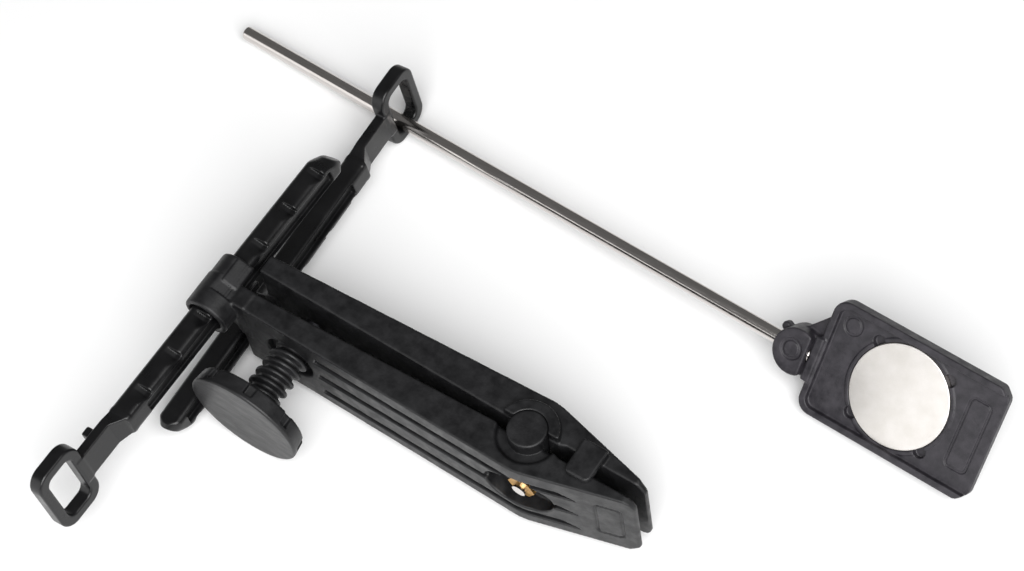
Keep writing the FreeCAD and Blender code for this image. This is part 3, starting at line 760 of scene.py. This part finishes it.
def place_coords(tree, scale=(1, 1, 1)):
    """Object coordinates in millimetres, stretched by scale."""
    coords = tree.nodes.new("ShaderNodeTexCoord")
    mapping = tree.nodes.new("ShaderNodeMapping")
    mapping.inputs["Scale"].default_value = [1000 * value for value in scale]
    tree.links.new(coords.outputs["Object"], mapping.inputs["Vector"])
    return mapping.outputs["Vector"]


def noise(tree, coords, scale, detail=4.0, rough=0.55):
    node = tree.nodes.new("ShaderNodeTexNoise")
    node.inputs["Scale"].default_value = scale
    node.inputs["Detail"].default_value = detail
    node.inputs["Roughness"].default_value = rough
    tree.links.new(coords, node.inputs["Vector"])
    return node.outputs["Fac"]


def spread(tree, value, low, high, start=0.3, stop=0.7):
    """Maps a 0 to 1 value onto low to high."""
    node = tree.nodes.new("ShaderNodeMapRange")
    ends = {"From Min": start, "From Max": stop, "To Min": low, "To Max": high}
    for name, number in ends.items():
        node.inputs[name].default_value = number
    tree.links.new(value, node.inputs["Value"])
    return node.outputs["Result"]


def tint(tree, value, dark, light):
    ramp = tree.nodes.new("ShaderNodeValToRGB")
    ramp.color_ramp.elements[0].color = (*dark, 1)
    ramp.color_ramp.elements[0].position = 0.3
    ramp.color_ramp.elements[1].color = (*light, 1)
    ramp.color_ramp.elements[1].position = 0.7
    tree.links.new(value, ramp.inputs["Fac"])
    return ramp.outputs["Color"]


def bump(tree, value, strength, distance, below=None):
    node = tree.nodes.new("ShaderNodeBump")
    node.inputs["Strength"].default_value = strength
    node.inputs["Distance"].default_value = distance
    tree.links.new(value, node.inputs["Height"])
    if below is not None:
        tree.links.new(below, node.inputs["Normal"])
    return node.outputs["Normal"]


def black_plastic(name, dark, light, roughness, grain, flow):
    """Black glass-filled plastic: flow marks in gloss and tone, with a fine moulded grain."""
    material, tree, shader = new_material(name, dark, sum(roughness) / 2, Specular_IOR_Level=0.4)
    coords = place_coords(tree, flow)
    marks = noise(tree, coords, 0.35, 6.0, 0.6)
    fine = noise(tree, place_coords(tree), 2.6, 3.0)
    tree.links.new(tint(tree, marks, dark, light), shader.inputs["Base Color"])
    tree.links.new(spread(tree, marks, *roughness), shader.inputs["Roughness"])
    first = bump(tree, fine, grain, 0.00004)
    tree.links.new(bump(tree, marks, 0.3, 0.0001, first), shader.inputs["Normal"])
    return material


def once(maker):
    """Keeps each material to one copy."""
    made = []

    def get():
        if not made:
            made.append(maker())
        return made[0]
    return get


@once
def clamp_plastic():
    return black_plastic("clamp_plastic", (0.0035, 0.0035, 0.004), (0.009, 0.009, 0.010),
                         (0.34, 0.6), 0.55, (1, 1, 1))


@once
def tray_plastic():
    return black_plastic("tray_plastic", (0.012, 0.011, 0.014), (0.034, 0.031, 0.037),
                         (0.34, 0.62), 0.6, (1.3, 1.3, 1.3))


@once
def arm_plastic():
    return black_plastic("arm_plastic", (0.003, 0.003, 0.0033), (0.006, 0.006, 0.0065),
                         (0.24, 0.4), 0.3, (0.6, 0.6, 0.6))


@once
def screw_plastic():
    return black_plastic("screw_plastic", (0.005, 0.005, 0.0055), (0.013, 0.013, 0.014),
                         (0.36, 0.52), 0.4, (0.5, 1.2, 1.6))


@once
def rod_steel():
    """Drawn steel, with very fine marks drawn out along X, nearly the rod's line."""
    material, tree, shader = new_material("rod_steel", (0.62, 0.59, 0.57), 0.2, Metallic=1.0)
    drawn = noise(tree, place_coords(tree, (0.03, 1, 1)), 4.0, 3.0)
    tree.links.new(spread(tree, drawn, 0.14, 0.22), shader.inputs["Roughness"])
    color = tint(tree, drawn, (0.58, 0.545, 0.52), (0.66, 0.63, 0.61))
    tree.links.new(color, shader.inputs["Base Color"])
    return material


@once
def pad_steel():
    """Blackened steel."""
    material, tree, shader = new_material("pad_steel", (0.03, 0.03, 0.033), 0.5, Metallic=1.0)
    worn = noise(tree, place_coords(tree), 1.5, 3.0)
    tree.links.new(spread(tree, worn, 0.42, 0.58), shader.inputs["Roughness"])
    color = tint(tree, worn, (0.02, 0.02, 0.022), (0.045, 0.045, 0.05))
    tree.links.new(color, shader.inputs["Base Color"])
    return material


@once
def magnet_nickel():
    material, tree, shader = new_material("magnet_nickel", (0.8, 0.77, 0.73), 0.42, Metallic=1.0)
    coords = place_coords(tree)
    grain = noise(tree, coords, 3.2, 2.0)
    cloud = noise(tree, coords, 0.25, 3.0)
    tree.links.new(spread(tree, grain, 0.36, 0.5), shader.inputs["Roughness"])
    color = tint(tree, cloud, (0.76, 0.73, 0.69), (0.84, 0.81, 0.78))
    tree.links.new(color, shader.inputs["Base Color"])
    tree.links.new(bump(tree, grain, 0.3, 0.00004), shader.inputs["Normal"])
    return material


@once
def nut_brass():
    material, tree, shader = new_material("nut_brass", (0.62, 0.36, 0.1), 0.35, Metallic=1.0)
    worn = noise(tree, place_coords(tree), 1.2, 4.0)
    tree.links.new(spread(tree, worn, 0.25, 0.45), shader.inputs["Roughness"])
    color = tint(tree, worn, (0.5, 0.27, 0.07), (0.68, 0.42, 0.14))
    tree.links.new(color, shader.inputs["Base Color"])
    return material


def dress_frame_nodes():
    """Materials for the CAD nodes that are shown as they are."""
    for name, maker in (("thrust_pad", pad_steel), ("tie_screw", rod_steel),
                        ("tie_washer", rod_steel), ("tie_nut", nut_brass)):
        node = frame["nodes"][name]
        node.data.materials.clear()
        node.data.materials.append(maker())


# Stage, lights and camera

def make_floor():
    size = 3.0
    mesh = bpy.data.meshes.new("floor")
    corners = [(-size, -size, 0), (size, -size, 0), (size, size, 0), (-size, size, 0)]
    mesh.from_pydata(corners, [], [(0, 1, 2, 3)])
    floor = bpy.data.objects.new("floor", mesh)
    bpy.context.scene.collection.objects.link(floor)
    floor.location.z = CAD_BOX[0].z - 0.0001
    mesh.materials.append(new_material("floor_paper", (0.9, 0.9, 0.9), 0.9)[0])


def area_light(name, place, target, size, power):
    data = bpy.data.lights.new(name, "AREA")
    data.shape = "RECTANGLE"
    data.size, data.size_y = size
    data.energy = power
    light = bpy.data.objects.new(name, data)
    bpy.context.scene.collection.objects.link(light)
    light.location = place
    light.rotation_euler = (Vector(target) - Vector(place)).to_track_quat("-Z", "Y").to_euler()


def make_lights():
    world = bpy.data.worlds.new("studio")
    bpy.context.scene.world = world
    world.use_nodes = True
    world.node_tree.nodes["Background"].inputs["Color"].default_value = (1, 1, 1, 1)
    world.node_tree.nodes["Background"].inputs["Strength"].default_value = 0.15
    area_light("key", (0.40, -0.40, 0.70), (0, 0, 0), (0.9, 0.9), 16.0)
    area_light("front", (-0.34, -0.62, 0.17), (0, 0, 0.02), (0.8, 0.42), 1.4)


def make_camera():
    """The camera, placed in the clamp frame in millimetres and carried by the stance."""
    right = Vector((0.8286, 0.5511, -0.0986)).normalized()
    ahead = Vector((-0.3398, 0.3553, -0.8708)).normalized()
    down = ahead.cross(right)
    turn = Matrix((right, -down, -ahead)).transposed()
    data = bpy.data.cameras.new("camera")
    data.sensor_width = 36.0
    data.lens = 98.85
    data.clip_start, data.clip_end = 0.01, 10
    camera = bpy.data.objects.new("camera", data)
    bpy.context.scene.collection.objects.link(camera)
    camera.location = STANCE @ Vector((169.8, -173.6, 510.4))
    camera.rotation_mode = "QUATERNION"
    lean = Matrix.Rotation(LEAN, 3, "X")
    camera.rotation_quaternion = (lean @ turn).to_quaternion()
    bpy.context.scene.camera = camera


def main():
    make_jaws(0.26)
    make_arms(0.22)
    make_thumbscrew(0.22)
    make_holder(0.22)
    make_rod()
    make_magnet()
    dress_frame_nodes()
    make_floor()
    make_lights()
    make_camera()
    bpy.context.scene.view_settings.view_transform = "Standard"


main()
